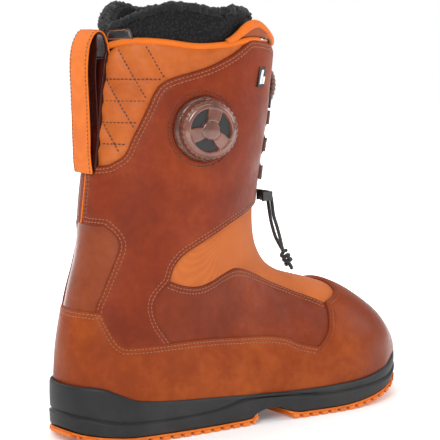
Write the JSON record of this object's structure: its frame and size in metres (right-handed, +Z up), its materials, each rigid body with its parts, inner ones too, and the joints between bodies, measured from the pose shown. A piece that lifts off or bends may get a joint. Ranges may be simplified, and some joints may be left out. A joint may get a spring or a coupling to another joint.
{
  "type": "snowboard boot",
  "caption": "Right snowboard boot of leather over a stiff sole, with a quilted collar, an inner liner, a hinged tongue and two lace dials.",
  "frame": {"origin": "on the ground under the middle of the heel", "axes": "+X towards the toe, +Z up, -Y towards the outer (lateral) side of the right foot"},
  "size_m": [0.3046, 0.1272, 0.3086],
  "materials": {
    "outsole_rubber": "matt moulded",
    "midsole_foam": "matt moulded",
    "stiff_plastic": "plain",
    "board": "woven fibre board",
    "lining_fabric": "knit",
    "rand_leather": "tanned, waxed",
    "shell_leather": "waxed, dark red-brown",
    "gusset_fabric": "stretch softshell",
    "liner_fabric": "dotted mesh over foam",
    "footbed_foam": "moulded foam",
    "collar_leather": "soft, quilted",
    "orange_trim": "webbing and piping",
    "stay_leather": "gloss",
    "gloss_leather": "gloss",
    "guide_plastic": "satin",
    "dial_plastic": "gloss",
    "steel": "plain",
    "harness_web": "webbing",
    "cord_black": "braided",
    "badge_black": "satin",
    "tongue_leather": "waxed",
    "spool_plastic": "plain",
    "knob_plastic": "gloss",
    "grip_rubber": "ribbed"
  },
  "bodies": {
    "foot": {"heel_outsole": "outsole_rubber", "forefoot_outsole": "outsole_rubber", "midsole": "midsole_foam", "shank": "stiff_plastic", "lasting_board": "board", "foot_lining": "lining_fabric", "heel_counter": "stiff_plastic", "toe_puff": "stiff_plastic", "toe_rand": "rand_leather", "vamp_lateral": "shell_leather", "vamp_medial": "shell_leather", "ankle_lateral": "shell_leather", "ankle_medial": "shell_leather", "ankle_gusset": "gusset_fabric", "liner_boot": "liner_fabric", "liner_flex": "liner_fabric", "footbed": "footbed_foam"},
    "shaft": {"shaft_lateral": "shell_leather", "shaft_medial": "shell_leather", "quilted_collar": "collar_leather", "collar_piping": "orange_trim", "back_stay": "stay_leather", "achilles_panel": "gloss_leather", "pull_loop": "orange_trim", "shaft_lining": "lining_fabric", "liner_cuff": "liner_fabric", "lace_guides": "guide_plastic", "side_dial_housing": "dial_plastic", "side_dial_screw": "steel", "ankle_harness": "harness_web", "harness_cable": "steel", "front_lace": "cord_black", "collar_badge": "badge_black", "liner_label": "badge_black", "cord_anchor": "badge_black"},
    "tongue": {"tongue": "tongue_leather", "tongue_binding": "orange_trim", "front_dial_housing": "dial_plastic", "front_dial_screw": "steel"},
    "side_reel": {"side_spool": "spool_plastic"},
    "side_dial": {"side_knob": "knob_plastic", "side_knob_grip": "grip_rubber"},
    "front_reel": {"front_spool": "spool_plastic"},
    "front_dial": {"front_knob": "knob_plastic", "front_knob_grip": "grip_rubber"},
    "cord": {"instep_cord": "cord_black", "cord_knot": "cord_black"}
  },
  "joints": [
    {"name": "shaft_flex", "type": "hinge", "parent": "foot", "child": "shaft", "pos_m": [0.022, 0, 0.117], "axis": [0, 1, 0], "range_deg": [0, 15], "stiffness_Nm_per_rad": 40, "deforming": ["ankle_gusset", "liner_flex"]},
    {"name": "tongue_swing", "type": "hinge", "parent": "shaft", "child": "tongue", "pos_m": [0.118, 0, 0.165], "axis": [0, 1, 0], "range_deg": [0, 18], "stiffness_Nm_per_rad": 1.5, "deforming": ["front_lace"]},
    {"name": "side_dial_turn", "type": "hinge", "parent": "shaft", "child": "side_reel", "pos_m": [0.045, -0.0522, 0.22], "axis": [-0.2924, -0.9563, 0], "continuous": true},
    {"name": "side_knob_pull", "type": "slide", "parent": "side_reel", "child": "side_dial", "axis": [-0.2924, -0.9563, 0], "range_m": [0, 0.003]},
    {"name": "front_dial_turn", "type": "hinge", "parent": "tongue", "child": "front_reel", "pos_m": [0.1289, 0, 0.246], "axis": [0.993, 0, -0.1184], "continuous": true},
    {"name": "front_knob_pull", "type": "slide", "parent": "front_reel", "child": "front_dial", "axis": [0.993, 0, -0.1184], "range_m": [0, 0.003]},
    {"name": "cord_swing", "type": "hinge", "parent": "shaft", "child": "cord", "pos_m": [0.126, -0.022, 0.163], "axis": [0, 1, 0], "range_deg": [-70, 0]}
  ],
  "couplings": [
    {"joint": "cord_swing", "follows": "shaft_flex", "ratio": -4}
  ]
}
